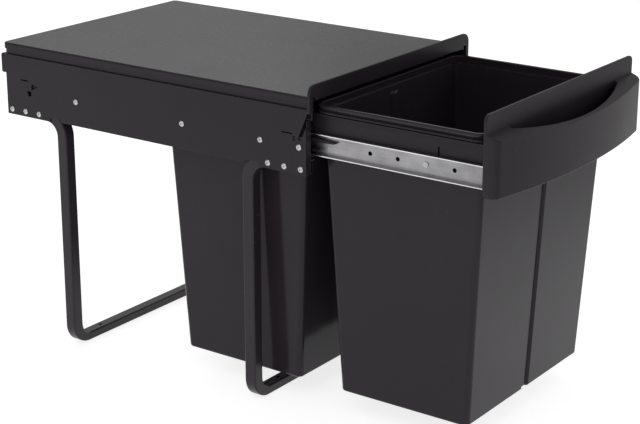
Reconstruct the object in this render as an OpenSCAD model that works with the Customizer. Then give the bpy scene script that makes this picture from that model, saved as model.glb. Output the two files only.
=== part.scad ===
// Pull out bin frame: two bins in a sliding drawer under a fixed lid, on two bent tube legs.
// Width is X, depth is Y with the handle at -Y, and height is Z. The origin is the centre of
// the four floor screw holes, at floor level. The drawer is drawn half open.

/* [Side panels] */
// Width over the outer faces of the side panels
frame_w = 347; // [320:1:380]
// Length of the side panels
panel_len = 485; // [470:1:520]
// Height of the side panels
panel_h = 80; // [76:1:96]
// Height of the panels' lower edge above the floor
panel_z = 308; // [290:1:330]
// How far the panels' middle lies behind the middle of the floor bars
panel_shift = 2.5; // [0:0.5:4]
// Thickness of the panel sheet
sheet = 1.5; // [1.2:0.1:1.6]
// Width of the flange folded in along the top of a panel
top_flange = 11; // [8:0.5:11.5]
// Width of the flange folded in at the front of a panel
front_flange = 10; // [8:0.5:10]
// Width of the flange folded in at the rear of a panel
rear_flange = 12; // [10:0.5:20]
// How far the panel's upper front corner reaches past its front flange
nose = 3.5; // [2:0.5:6]
// Height of that corner
nose_h = 13; // [11:0.5:16]
// Distance of the slanted slot's foot from the panel's front flange
nose_root = 9; // [7.5:0.5:11]
// Height of the slanted slot in the panel's front corner
nose_slot_h = 34; // [28:1:36]
// Width of the slanted slot
nose_slot_w = 4.6; // [3:0.2:5]
// Height of the notch in a panel's lower edge over each leg bend
notch_h = 5.5; // [2:0.5:8]
// Width of that notch
notch_w = 26; // [20:1:32]
// How far the notch's middle lies past the leg
notch_shift = 4; // [2:0.5:6]
// How far a panel's lower edge is raised between the legs
edge_lift = 1.5; // [0:0.5:3]
// Width of the three-sided window for a lid clip's barb
window_w = 10.5; // [8:0.5:14]
// Height of that window
window_h = 7.6; // [6:0.2:9]
// Height of the clip windows above the panels' lower edge
window_up = 48; // [46:0.5:52]
// Distance of the front slot and window from the front flange
window_front = 20; // [18:0.5:26]
// Length of the thin slots beside the windows
slit_l = 13; // [10:0.5:18]
// Width of the thin slots
slit_w = 1.4; // [1:0.1:2]

/* [Legs] */
// Side of the square leg tube
tube = 16; // [14:0.5:16]
// Wall of the leg tube
tube_wall = 1.2; // [1:0.1:1.5]
// Corner radius of the leg tube
tube_corner = 2; // [1.5:0.1:3]
// Height of the floor bars, which are pressed flatter than the legs
floor_bar = 11.5; // [10:0.5:14]
// Height of the middle of the legs' upper runs above the panels' lower edge
run_up = 7; // [6:0.2:7]
// Distance between the middles of the two floor bars
leg_pitch = 304; // [280:1:320]
// Centre line radius of the bends under the panels
bend_top = 26; // [20:1:28]
// Centre line radius of the bends at the floor
bend_foot = 20; // [18:1:26]
// Diameter of the screw holes in the floor bars
floor_hole = 5; // [4:0.5:6]
// Distance between the two screw holes of a floor bar
floor_hole_span = 230; // [160:2:250]

/* [Rivets] */
// Diameter of a rivet head
rivet_head = 7.4; // [6.6:0.2:9]
// Height of a rivet head
rivet_dome = 1.4; // [1:0.1:1.8]
// Diameter of a rivet shank
rivet_d = 4; // [3.2:0.2:4.8]
// Diameter of the swelled blind end of a rivet
rivet_bulb = 5.6; // [5:0.2:6.4]
// Distance of the first leg rivet from the end of the panel
leg_rivet_edge = 8; // [7:0.5:10]
// Distance between leg rivets
leg_rivet_pitch = 24; // [18:0.5:24]
// Distance between the two rivets at an end of the crossmember
cross_rivet_pitch = 11; // [9:0.5:13]
// Height of the slide rivets above the panels' lower edge
slide_rivet_up = 33.4; // [32:0.1:36]
// Distances of the slide rivets from the front end of the panel
slide_rivet_at = [10.4, 67.2, 187.2, 362.7]; // [5:0.1:380]

/* [Lid and arch] */
// How far the lid's sides lie inside the panels' outer faces
lid_inset = 5; // [4.5:0.5:8]
// How far the lid reaches past the rear end of the panels
lid_over = 6; // [2:0.5:7]
// Height of the lid's rim
lid_h = 15; // [14:0.5:20]
// Wall of the lid
lid_wall = 2.5; // [2:0.1:3]
// Radius of the lid's rear corners seen from above
lid_corner = 5; // [4.5:0.5:12]
// Radius of the lid's upper edge
lid_edge = 4; // [2:0.5:5]
// Height of the recessed lower part of the lid's rim
lid_step = 5; // [3:0.5:6]
// Depth of that recess
lid_recess = 1.5; // [0.8:0.1:2]
// Width of the lid's clips
clip_w = 50; // [44:1:54]
// Distance of the lid's clips from the rear end of the panels
clip_rear = 45; // [40:1:60]
// Length of the clips below the panels' top
clip_drop = 56; // [52:0.5:58]
// How far the arch stands out past each side panel
arch_over = 2.5; // [1:0.1:4]
// Height of the arch's band
arch_band = 16; // [12:0.5:20]
// How far the arch stands above the lid
arch_rise = 15; // [13:0.5:17]
// Thickness of the arch, front to back
arch_t = 4; // [3:0.5:5]
// Width of the arch's legs
arch_leg = 7; // [6:0.5:10]
// How far the arch's legs reach below the top of the panels
arch_drop = 4; // [2:0.5:8]
// Outer corner radius of the arch
arch_corner = 12; // [8:0.5:16]
// Depth of the ledge that carries the lid's front edge
arch_ledge = 10; // [8:0.5:14]
// Length of the arch's arms behind the panels' front end
arm_len = 38; // [30:1:50]
// Thickness of the arms
arm_t = 2.4; // [2:0.1:3]

/* [Rear crossmember] */
// Depth of the rear crossmember
cross_d = 7.5; // [6.5:0.5:12]
// Height of the rear crossmember
cross_h = 26; // [22:1:40]
// Corner radius of the rear crossmember
cross_corner = 3; // [2:0.5:5]

/* [Slides] */
// Length of the fixed slide member
slide_len = 450; // [440:1:452]
// How far the slides' middle line lies above the slide rivets
slide_over_rivets = 2.2; // [1:0.1:3]
// How far the slides lie behind the panels' front flange
slide_set = 0.5; // [0.3:0.1:2]
// How much shorter the middle member is at each end than the fixed one
middle_inset = 2; // [1:0.5:4]
// Height of the drawer member of a slide
inner_h = 26.4; // [24:0.2:26.8]
// Thickness of the slide steel
steel = 1; // [0.8:0.1:1.2]
// Ball diameter
ball_d = 3; // [2.8:0.1:3]
// Depth of the grooves in which the balls run
groove = 0.3; // [0.2:0.05:0.4]
// Depth of a slide, from the spacer to the drawer rail
slide_depth = 12.7; // [12.5:0.1:14]
// Depth of the spacer channel between a panel and its slide
spacer_d = 8.5; // [8.5:0.1:9]
// Height of the spacer channel
spacer_h = 21; // [18:0.5:22]
// Depth of the ball rows from the spacer
ball_depth = 7.6; // [7.2:0.1:8]
// Width of the fixed member's flanges
flange_reach = 10; // [9.6:0.1:10.4]
// Clearance between the webs of neighbouring members
member_gap = 1.4; // [1.2:0.1:1.6]
// Thickness of a ball cage
cage_sheet = 0.7; // [0.5:0.1:0.8]
// How far a cage reaches past the middle of its balls
cage_edge = 2.4; // [2:0.1:2.6]
// Distance of a cage from the ends of the members at full reach
cage_inset = 8; // [4:0.5:12]
// Thickness of the rubber bumpers
bumper_t = 1.8; // [1.4:0.1:1.8]
// Width of the rubber bumpers
bumper_w = 6; // [4:0.5:8]
// Travel of each of the two slide stages
travel = 227; // [210:1:228]
// Length of a ball cage
cage_len = 188; // [160:1:196]
// Number of balls in a row
balls = 8; // [4:1:12]
// Diameter of the screw holes in the drawer members
slide_hole = 5.4; // [4.5:0.1:6]
// Distance between the holes in the front of a drawer member
slide_hole_pitch = 37.6; // [30:0.1:40]
// Distance of the first hole from the front of a drawer member
slide_hole_front = 47.6; // [40:0.2:52]
// Distance of the middle rail rivet from the front of a drawer member
rail_rivet_mid = 325; // [320:1:340]
// Distance of the last rail rivet from the front of a drawer member
rail_rivet_last = 440; // [420:1:446]
// Diameter of a rail rivet
rail_rivet_d = 4; // [3:0.1:4.4]

/* [Release levers] */
// Length of a lever's upper finger, ahead of its pin
lever_finger = 54; // [40:1:56]
// Length of a lever's lower finger
lever_hook = 29.6; // [24:0.2:34]
// Length of a lever's tail
lever_tail = 30; // [24:1:36]
// Height of a lever above its pin
lever_back = 7.6; // [6:0.2:9]
// Height of a lever below its pin
lever_belly = 10.4; // [8:0.2:11]
// Distance of a lever's pin from the panel's front flange
lever_at = 24; // [20:0.5:30]
// Thickness of a lever
lever_t = 4; // [3:0.5:4]
// Diameter of a lever's pin
lever_pin = 3; // [2.5:0.1:4]

/* [Drawer] */
// Distance of the lanced slot from the front end of a rail
lance_at = 70; // [50:1:90]
// Height of the lanced slot
lance_h = 10; // [8:0.5:12]
// Width of the lanced slot
lance_w = 2; // [1.5:0.1:3]
// Distance of the lanced slot from the top of the rail
lance_down = 14; // [10:0.5:15]
// Height of the drawer rails
rail_h = 49.6; // [44:0.2:52]
// Width of the rails' top flange, which carries the bins
rail_flange = 7; // [6:0.5:7]
// Width of the flange at the front end of a rail
rail_ear = 22; // [18:1:22]
// Height of the three cross bars of the drawer
bar_h = 22; // [16:1:30]
// Clearance between a cross bar and a bin
bar_clear = 1.3; // [1:0.1:3]
// Height of the rails' lower edge above that of the drawer member
rail_foot = 1; // [0.5:0.1:2]
// How far the rails reach past the rear bin
rail_over = 2; // [1:0.5:4]
// Gap between the front arch and the front plate when the drawer is shut
shut_gap = 2.5; // [2:0.1:3]

/* [Drawer front and handle] */
// Height of the front plate
plate_h = 93; // [86:1:100]
// Thickness of the front plate
plate_t = 4; // [3:0.5:5]
// Corner radius of the front plate
plate_corner = 7; // [4:0.5:12]
// How far the front plate stands above the arch
plate_rise = 2; // [0:0.5:6]
// Depth of the handle's bow at its ends
bow_end = 12.5; // [8:0.5:16]
// Depth of the handle's bow in the middle
bow_mid = 31; // [26:0.5:40]
// How far the bow's top lies below the plate's top edge
bow_drop = 22; // [16:1:30]
// Slope of the bow's top, fall for each millimetre forward
bow_slope = 0.387; // [0.1:0.01:0.5]
// Radius of the bow's two front corners
bow_corner = 10; // [6:0.5:12]
// Distance of the finger pocket's ends from the plate's sides
pocket_end = 48; // [40:1:60]
// Depth of the finger pocket at its ends
pocket_end_d = 4; // [2:0.5:6]
// Depth of the finger pocket from plate to front, in the middle
pocket_d = 27; // [22:0.5:27.5]
// Thickness of the pocket's floor
pocket_floor = 5; // [3:0.5:12]
// Diameter of the handle screws
screw_d = 4; // [3:0.5:5]
// Heights of the handle screws above the plate's lower edge
screw_up = [14, 42]; // [10:1:50]
// Distance of the handle screws from the outer edge of the rail's front flange
screw_edge = 9; // [7:0.5:12]
// How far the handle screws reach into the bow
screw_bite = 7.5; // [6:0.5:9]

/* [Bins] */
// Clearance between a bin and the drawer rails
bin_clear = 1; // [0.8:0.1:4]
// Length of a bin under its rim
bin_top_l = 218; // [200:1:219]
// How far a bin's side wall leans in from the rim to the floor
bin_lean_side = 12; // [9:0.5:20]
// How far a bin's end wall leans in from the rim to the floor
bin_lean_end = 19; // [14:0.5:26]
// Wall of a bin
bin_wall = 2; // [1.6:0.1:2.4]
// Height of the bins' floor above the floor
bin_z = 30; // [20:1:60]
// Height of a bin's rim
rim_h = 11; // [8:0.5:11]
// Height of the shadow line between the rim and the rail's flange
rim_line = 1.2; // [0.8:0.1:2]
// Depth of that line
rim_line_d = 2.5; // [1.5:0.5:3]
// How far the rim reaches past the rail's flange
rim_over = 0.2; // [0:0.1:0.6]
// How far the rim stands out past an end wall
rim_end = 6.5; // [5:0.5:8]
// Corner radius of the rim
rim_corner = 16; // [12:1:20]
// Width of the rim's top face
rim_t = 5; // [4:0.5:6]
// Corner radius of a bin at its floor
bin_corner = 7; // [6:0.5:14]
// Radius of the edge round a bin's floor
bin_edge = 3; // [2:0.5:4]
// Gap between the rims of the two bins
bin_gap = 9.6; // [6:0.2:12]
// Gap between the drawer's front bar and the rim of the front bin
bin_front_gap = 6.2; // [4:0.2:8]
// Width of the groove down a bin's end walls
rib_w = 17; // [12:0.5:22]
// Depth of that groove
rib_d = 3; // [1.5:0.5:5]
// Distance of the groove's upper end from the rim
rib_stop = 4; // [2:0.5:8]

/* [Hidden] */
$fn = 48;
fit = 0.05;      // radial clearance of a pin or shank in its hole
gap = 0.1;       // clearance between pieces that nearly touch
over = 1;        // how far a cut runs past the face it opens

// Frame, worked out from the sizes above
side_x = frame_w / 2;
inside_x = side_x - sheet;
panel_front = panel_shift - panel_len / 2;
panel_rear = panel_shift + panel_len / 2;
panel_top = panel_z + panel_h;
leg_y = leg_pitch / 2;
leg_x = inside_x - tube / 2;
run_z = panel_z + run_up;
slide_rivet_z = panel_z + slide_rivet_up;
cross_rivet_x = side_x - rear_flange / 2;
flange_top = panel_top - nose_h - 0.5;

// Slide cross-section: heights from the middle line, depths from the spacer
slide_z = slide_rivet_z + slide_over_rivets;
slide_x = inside_x - spacer_d;
ball_gap = ball_d - 2 * groove + 2 * fit;
inner_half = inner_h / 2;
middle_in = inner_half + ball_gap;
middle_half = middle_in + steel;
outer_in = middle_half + ball_gap;
outer_half = outer_in + steel;
middle_web = steel + member_gap;
inner_lip = middle_web + steel + member_gap;
slide_front = panel_front + sheet + slide_set;
slide_rear = slide_front + slide_len;
middle_front = slide_front + middle_inset;
middle_rear = slide_rear - middle_inset;

// Lid and arch
lid_w = frame_w - 2 * lid_inset;
lid_front = panel_front - nose + gap;
lid_rear = panel_rear + lid_over;
clip_at = panel_rear - clip_rear;
clip_x = lid_w / 2;
arch_w = frame_w + 2 * arch_over;
arch_back = panel_front - nose;
arch_top = panel_top + lid_h + arch_rise;
arch_foot = panel_top - arch_drop;
arm_x = -inside_x + gap;
arm_rear = panel_front + arm_len;

// Drawer
plate_back = arch_back - arch_t - shut_gap - travel;
rail_x = slide_x - slide_depth;
rail_z = slide_z - inner_half + rail_foot;
rail_top = rail_z + rail_h;
rail_front = plate_back;
rim_w = 2 * (rail_x + rail_flange + rim_over);
rim_l = bin_top_l + 2 * rim_end;
bin_top_w = 2 * (rail_x - sheet - bin_clear);
bin_floor_w = bin_top_w - 2 * bin_lean_side;
bin_floor_l = bin_top_l - 2 * bin_lean_end;
bin_pitch = rim_l + bin_gap;
mid_bar_w = bin_pitch - bin_top_l - 2 * bar_clear;
bin_front_y = plate_back + sheet + bin_front_gap + rim_l / 2;
bin_rear_y = bin_front_y + bin_pitch;
rail_rear = bin_rear_y + rim_l / 2 + rail_over;
inner_front = plate_back + sheet + gap;
inner_rear = middle_rear - travel;
plate_top = arch_top + plate_rise;
plate_bottom = plate_top - plate_h;
pocket_half = arch_w / 2 - pocket_end;
handle_screw_x = rail_x + rail_ear - screw_edge;
handle_screw_z = [for (up = screw_up) plate_bottom + up];

// Helpers: a profile drawn in Y and Z or in X and Z, given a thickness along the third axis
module along_x(x, t) translate([x, 0, 0]) rotate([90, 0, 90]) linear_extrude(t) children();
module along_y(y, t) translate([0, y + t, 0]) rotate([90, 0, 0]) linear_extrude(t) children();
module along_z(z, t) translate([0, 0, z]) linear_extrude(t) children();
module box(low, high) translate(low) cube(high - low);
module pin_x(x, y, z, d, length) translate([x, y, z]) rotate([0, 90, 0]) cylinder(d = d, h = length);
module pin_y(x, y, z, d, length) translate([x, y, z]) rotate([-90, 0, 0]) cylinder(d = d, h = length);
// Pieces are drawn on the left side and mirrored for the right
module on_side(side) {
    if (side == "left") children();
    else mirror([1, 0, 0]) children();
}
module both_sides() {
    on_side("left") children();
    on_side("right") children();
}

// Rectangle with round corners, centred
module round_rect(w, h, r) {
    square([w - 2 * r, h], center = true);
    square([w, h - 2 * r], center = true);
    for (sx = [-1, 1], sy = [-1, 1]) translate([sx * (w / 2 - r), sy * (h / 2 - r)]) circle(r);
}

// Blind rivet along +Z: head below zero, shank through the grip, swelled end beyond it
module rivet(grip) {
    rotate_extrude() polygon([
        [rivet_d * 0.19, -rivet_dome], [rivet_head * 0.3, -rivet_dome], [rivet_head / 2, -rivet_dome / 4],
        [rivet_head / 2, 0], [rivet_d / 2, 0], [rivet_d / 2, grip], [rivet_bulb / 2, grip],
        [rivet_bulb / 2, grip + rivet_d / 3], [rivet_d / 3, grip + rivet_d * 0.7], [0, grip + rivet_d * 0.7],
        [0, -rivet_dome / 2], [rivet_d * 0.19, -rivet_dome / 2]
    ]);
}

// Places of the rivets on the left panel
function leg_rivet_places() = concat(
    [for (k = [0:2]) panel_front + leg_rivet_edge + k * leg_rivet_pitch],
    [for (k = [0:2]) panel_rear - leg_rivet_edge - k * leg_rivet_pitch]);
function slide_rivet_places() = [for (d = slide_rivet_at) panel_front + d];

// Outline of a panel with its nose at the upper front corner
module panel_outline() {
    difference() {
        union() {
            translate([panel_front, panel_z]) square([panel_len, panel_h]);
            translate([panel_front - nose, panel_z]) square([nose + over, panel_h]);
        }
        // the front flange stops below the nose
        translate([panel_front - nose - over, panel_z - over])
            square([nose + over, panel_h - nose_h + over]);
        // slanted slot with a round end
        nose_slot();
        nose_clear();
        // raised edge between the legs, and a notch over each leg bend
        translate([-leg_y, panel_z - over]) square([2 * leg_y, over + edge_lift]);
        for (s = [-1, 1]) intersection() {
            translate([s * (leg_y + bend_top), run_z - bend_top]) circle(bend_top + tube / 2 + 1.5);
            translate([s * (leg_y + notch_shift) - notch_w / 2, panel_z - over]) square([notch_w, over + notch_h]);
        }
        panel_windows();
    }
}
nose_foot = [panel_front + nose_root, panel_top - nose_slot_h - 2];
nose_lean = atan2(nose_slot_h, -(nose_root + nose + 2));
module nose_slot() translate(nose_foot) {
    circle(d = nose_slot_w);
    rotate(nose_lean) translate([0, -nose_slot_w / 2]) square([nose_slot_h * 2, nose_slot_w]);
}
// What lies ahead of the slot, above the front flange, is open
module nose_clear() intersection() {
    translate(nose_foot) rotate(nose_lean) square([nose_slot_h * 2, nose_slot_h]);
    translate([panel_front - nose - over, flange_top]) square(nose_slot_h);
}
// Windows: a thin slot, a three-sided window and a small window, for the clips
module panel_windows() {
    w = window_w;
    h = window_h;
    z = panel_z + window_up;
    translate([clip_at + w * 0.57, z]) square([slit_l, slit_w]);
    translate([clip_at, z - h * 0.4]) polygon([[0, h * 0.07], [-w, -h * 0.26], [w * 0.04, -h]]);
    translate([clip_at + w * 0.1, z - h * 2.6])
        polygon([[0, h * 0.92], [w * 0.71, h * 0.92], [w * 0.48, 0], [0, h * 0.2]]);
    translate([panel_front + window_front, z]) square([slit_l * 1.2, slit_w]);
    translate([panel_front + window_front - w * 0.43, z - h]) square([w * 0.3, h * 0.8]);
}

module side_panel(side) {
    color("#343336") on_side(side) difference() {
        union() {
            along_x(-side_x, sheet) panel_outline();
            // top flange, under the lid
            box([-side_x, panel_front - nose, panel_top - sheet],
                [-side_x + sheet + top_flange, panel_rear, panel_top]);
            // front flange, short of the nose
            box([-side_x, panel_front, panel_z], [-side_x + front_flange, panel_front + sheet, flange_top]);
            // rear flange
            box([-side_x, panel_rear - sheet, panel_z], [-side_x + rear_flange, panel_rear, panel_top]);
        }
        along_x(-side_x - over, sheet + 2 * over) nose_slot();
        for (y = leg_rivet_places()) pin_x(-side_x - over, y, run_z, rivet_d + 2 * fit, sheet + 2 * over);
        for (y = slide_rivet_places())
            pin_x(-side_x - over, y, slide_rivet_z, rivet_d + 2 * fit, sheet + 2 * over);
        for (z = cross_rivet_places())
            pin_y(-cross_rivet_x, panel_rear - sheet - over, z, rivet_d + 2 * fit, sheet + 2 * over);
        // slot in the top flange for the lid's clip
        box([-clip_x + sheet - gap, clip_at - clip_w / 2 - gap, panel_top - sheet - over],
            [-clip_x + 2 * sheet + gap, clip_at + clip_w / 2 + gap, panel_top + over]);
    }
}

// Leg frame: a floor bar, two legs and two runs under the panels, bent from one tube. The
// run goes to +Y. The inset is nothing for the tube's outside and its wall for the hollow
module tube_run(inset, reach, run_end) {
    size = tube - 2 * inset;
    corner = tube_corner - inset;
    bar_half = leg_x - bend_foot;
    foot_z = tube / 2 + bend_foot;
    along_x(-bar_half, 2 * bar_half) translate([leg_y, floor_bar / 2])
        round_rect(size, floor_bar - 2 * inset, corner);
    both_sides() {
        // bend at the floor, pressed flatter on its inner side towards the floor bar
        difference() {
            translate([-bar_half, leg_y, foot_z]) rotate([90, 180, 0])
                rotate_extrude(angle = 90) translate([bend_foot, 0]) round_rect(size, size, corner);
            along_y(leg_y - tube, 2 * tube) foot_inside(-bar_half, bend_foot - tube / 2, inset);
        }
        // leg
        along_z(foot_z, run_z - bend_top - foot_z)
            translate([-leg_x, leg_y]) round_rect(size, size, corner);
        // bend under the panel
        translate([-leg_x, leg_y + bend_top, run_z - bend_top]) rotate([90, 0, -90])
            rotate_extrude(angle = 90) translate([bend_top, 0]) round_rect(size, size, corner);
        // run along the panel's lower edge
        along_y(leg_y + bend_top, run_end + reach - leg_y - bend_top)
            translate([-leg_x, run_z]) round_rect(size, size, corner);
    }
}
// What is open inside the bend at the floor
module foot_inside(x, r, inset) translate([x, floor_bar + r]) {
    circle(r + inset);
    translate([gap - r - inset, 0]) square([r + inset + over, 2 * tube]);
}
module leg_frame(run_end, rivets) {
    difference() {
        tube_run(0, 0, run_end);
        tube_run(tube_wall, over, run_end);
        for (s = [-1, 1]) translate([s * floor_hole_span / 2, leg_y, -over])
            cylinder(d = floor_hole, h = tube + 2 * over);
        for (s = [-1, 1], y = rivets)
            pin_x(s * (inside_x - tube_wall / 2) - tube_wall, y, run_z, rivet_d + 2 * fit, 2 * tube_wall);
    }
}
module leg_frame_rear() color("#2b2a2d")
    leg_frame(panel_rear - sheet - 1, [for (k = [0:2]) panel_rear - leg_rivet_edge - k * leg_rivet_pitch]);
module leg_frame_front() color("#2b2a2d") mirror([0, 1, 0])
    leg_frame(-(panel_front + sheet + 1), [for (k = [0:2]) -(panel_front + leg_rivet_edge + k * leg_rivet_pitch)]);

module leg_rivets() color("#c9c9cc") both_sides()
    for (y = leg_rivet_places()) translate([-side_x, y, run_z]) rotate([0, 90, 0]) rivet(sheet + tube_wall);
module slide_rivets() color("#c9c9cc") both_sides()
    for (y = slide_rivet_places()) translate([-side_x, y, slide_rivet_z]) rotate([0, 90, 0]) rivet(2 * sheet);

// Rear crossmember: a shallow tray that joins the panels behind the bins
function cross_rivet_places() = [for (s = [-1, 1]) panel_top - cross_h / 2 + s * cross_rivet_pitch / 2];
module rear_crossmember() color("#2f2e31") difference() {
    along_y(panel_rear, cross_d) translate([0, panel_top - cross_h / 2]) round_rect(frame_w, cross_h, cross_corner);
    along_y(panel_rear + sheet, cross_d) translate([0, panel_top - cross_h / 2])
        round_rect(frame_w - 2 * sheet, cross_h - 2 * sheet, cross_corner - sheet);
    for (s = [-1, 1], z = cross_rivet_places())
        pin_y(s * cross_rivet_x, panel_rear - over, z, rivet_d + 2 * fit, sheet + 2 * over);
}
module crossmember_rivets() color("#c9c9cc")
    for (s = [-1, 1], z = cross_rivet_places())
        translate([s * cross_rivet_x, panel_rear + sheet, z]) rotate([90, 0, 0]) rivet(2 * sheet);

// Lid: a shallow tray turned over, open at the front, with a stepped rim and two clips
module lid_block(w, y0, y1, z0, z1, corner, edge) hull() {
    for (sx = [-1, 1], y = [y0 + corner, y1 - corner])
        translate([sx * (w / 2 - corner), y, 0]) {
            translate([0, 0, z0]) cylinder(r = corner, h = 0.01, $fn = 32);
            translate([0, 0, z1 - edge]) cylinder(r = corner, h = 0.01, $fn = 32);
            for (a = [30, 60, 90])
                translate([0, 0, z1 - edge + edge * sin(a) - 0.01])
                    cylinder(r = corner - edge * (1 - cos(a)), h = 0.01, $fn = 32);
        }
}
lid_hollow_x = lid_w / 2 - lid_wall - lid_recess;
module lid() color("#3a393c") {
    past_front = lid_front - 2 * lid_corner;
    difference() {
        union() {
            lid_block(lid_w, past_front, lid_rear, panel_top + lid_step, panel_top + lid_h, lid_corner, lid_edge);
            lid_block(lid_w - 2 * lid_recess, past_front, lid_rear - lid_recess, panel_top,
                panel_top + lid_step + over, lid_corner - lid_recess, 0.1);
        }
        // the front edge is cut square behind the arch
        box([-lid_w, past_front - over, panel_top - over], [lid_w, lid_front, panel_top + lid_h + over]);
        // hollow underneath, open at the front for the bins to pass
        lid_block(2 * lid_hollow_x, past_front, lid_rear - lid_wall - lid_recess, panel_top - over,
            panel_top + lid_h - lid_wall, lid_corner - lid_wall, 1);
    }
    both_sides() lid_clip();
}
module lid_clip() {
    // tongue through the panel's top flange
    clip_out = -clip_x + sheet;
    box([clip_out, clip_at - clip_w / 2, panel_top - clip_drop],
        [clip_out + sheet, clip_at + clip_w / 2, panel_top + lid_step]);
    // barb that sits in the panel's window
    along_x(-inside_x + gap, inside_x - gap + clip_out + sheet / 2) clip_barb();
}
module clip_barb() translate([clip_at, panel_z + window_up - window_h * 0.4])
    polygon([[-0.6, -0.1], [2 - window_w, -window_h * 0.26], [-0.3, 1.2 - window_h]]);

// Front arch: band over the opening, two short legs, and arms clipped inside the panels
module arch_outline() difference() {
    tall = arch_top - arch_foot;
    intersection() {
        translate([0, arch_foot]) round_rect(arch_w, 2 * tall, arch_corner);
        translate([-arch_w / 2, arch_foot]) square([arch_w, tall]);
    }
    translate([-arch_w / 2 + arch_leg, arch_foot - over]) square([arch_w - 2 * arch_leg, tall - arch_band + over]);
}
module front_arch() color("#2c2b2e") {
    along_y(arch_back - arch_t, arch_t) arch_outline();
    // ledge under the lid's front edge
    ledge_x = lid_hollow_x - 1;
    ledge_top = panel_top + lid_h - lid_wall - gap;
    box([-ledge_x, arch_back - arch_t / 2, ledge_top - arch_t / 2], [ledge_x, arch_back + arch_ledge, ledge_top]);
    box([-ledge_x, arch_back - arch_t, ledge_top - arch_t / 2],
        [ledge_x, arch_back - arch_t / 2, arch_top - arch_band + over]);
    both_sides() {
        // arm behind the panel, under its top flange, and its tongue behind the front flange
        tongue_z = slide_z + spacer_h / 2 + 1.4;
        box([arm_x, arch_back - arch_t, flange_top + sheet], [arm_x + arm_t, arm_rear, panel_top - sheet - gap]);
        box([arm_x, panel_front + sheet + 1, tongue_z], [arm_x + arm_t, arm_rear, flange_top + sheet + over]);
    }
}

// Slide spacer: hat channel riveted to the panel, its brims carry the slide
spacer_front = slide_front;
spacer_rear = panel_front + slide_rivet_at[3] + 17;
module slide_spacer(side) color("#39383b") on_side(side) difference() {
    along_y(spacer_front, spacer_rear - spacer_front) {
        half = spacer_h / 2;
        translate([-inside_x, slide_z - half]) square([sheet, spacer_h]);
        for (s = [-1, 1]) {
            translate([-inside_x, slide_z + (s > 0 ? half - sheet : -half)]) square([spacer_d, sheet]);
            translate([-slide_x - sheet, slide_z + (s > 0 ? half - sheet : -outer_half + 1)])
                square([sheet, outer_half - 1 - half + sheet]);
        }
    }
    for (y = slide_rivet_places())
        pin_x(-inside_x - over, y, slide_rivet_z, rivet_d + 2 * fit, sheet + 2 * over);
}

// Slide members, drawn as sections in depth from the spacer and height from the middle line
module slide_section(web, lip, half, reach, ball_side) {
    difference() {
        union() {
            translate([web, -half]) square([steel, 2 * half]);
            for (s = [-1, 1])
                translate([min(web, lip), s > 0 ? half - steel : -half]) square([reach, steel]);
        }
        // ball grooves, inside or outside the flanges
        for (s = [-1, 1], side = ball_side) {
            face = side > 0 ? half : half - steel;
            translate([ball_depth, s * (face + side * (ball_d / 2 - groove))]) circle(d = ball_d, $fn = 32);
        }
    }
}
module slide_member(y0, length, web, lip, half, reach, ball_side)
    translate([-slide_x, 0, slide_z]) along_y(y0, length) slide_section(web, lip, half, reach, ball_side);

module slide_outer(side) color("#bfc1c4") on_side(side)
    slide_member(slide_front, slide_len, 0, 0, outer_half, flange_reach, [-1]);
module slide_middle(side) color("#bfc1c4") on_side(side)
    slide_member(middle_front, middle_rear - middle_front, middle_web, middle_web, middle_half, flange_reach - 1,
        [-1, 1]);
rail_rivet_at = [slide_hole_front + slide_hole_pitch, rail_rivet_mid, rail_rivet_last];
module slide_inner(side) color("#c6c7ca") on_side(side) difference() {
    slide_member(inner_front, inner_rear - inner_front, slide_depth - steel, inner_lip, inner_half,
        slide_depth - inner_lip, [1]);
    for (k = [0, 2, 3])
        pin_x(-rail_x - steel - over, inner_front + slide_hole_front + k * slide_hole_pitch, slide_z, slide_hole,
            steel + 2 * over);
    for (d = rail_rivet_at)
        pin_x(-rail_x - steel - over, inner_front + d, slide_z, rail_rivet_d + 2 * fit, steel + 2 * over);
    pin_x(-rail_x - steel - over, lever_y, slide_z, lever_pin + 2 * fit, steel + 2 * over);
}
module slide_bumpers() color("#1f1f20") both_sides()
    translate([-slide_x, 0, slide_z]) along_y(slide_rear - bumper_t, bumper_t)
        translate([steel + gap, -outer_in + gap]) square([bumper_w, 2 * (outer_in - gap)]);

// Ball cages: a strip bent round the rows, with a hole for each ball
cage_pitch = cage_len / balls;
module cage(y0, web, row) {
    difference() {
        along_y(y0, cage_len) {
            translate([web, -row - cage_sheet / 2]) square([cage_sheet, 2 * row + cage_sheet]);
            for (s = [-1, 1])
                translate([web, s * row - cage_sheet / 2]) square([ball_depth + cage_edge - web, cage_sheet]);
        }
        for (s = [-1, 1], k = [0:balls - 1])
            translate([ball_depth, y0 + (k + 0.5) * cage_pitch, s * row - cage_sheet])
                cylinder(d = ball_d + 0.2, h = 2 * cage_sheet, $fn = 24);
    }
}
module ball_rows(y0, row)
    for (s = [-1, 1], k = [0:balls - 1])
        translate([ball_depth, y0 + (k + 0.5) * cage_pitch, s * row]) sphere(d = ball_d, $fn = 24);
outer_row = (middle_half + outer_in) / 2;
inner_row = (inner_half + middle_in) / 2;
// At full reach a cage lies between the members' ends; here the outer one is half its way back
outer_cage_front = slide_front + cage_inset + travel / 2;
inner_cage_front = middle_front + cage_inset;
outer_cage_web = steel + 0.35;
inner_cage_web = middle_web + steel + 0.35;
module in_slide(side) on_side(side) translate([-slide_x, 0, slide_z]) children();
module outer_cage(side) color("#8d8f92") in_slide(side) cage(outer_cage_front, outer_cage_web, outer_row);
module inner_cage(side) color("#8d8f92") in_slide(side) cage(inner_cage_front, inner_cage_web, inner_row);
module outer_balls() color("#dcdde0")
    for (side = ["left", "right"]) in_slide(side) ball_rows(outer_cage_front, outer_row);
module inner_balls() color("#dcdde0")
    for (side = ["left", "right"]) in_slide(side) ball_rows(inner_cage_front, inner_row);

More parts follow.
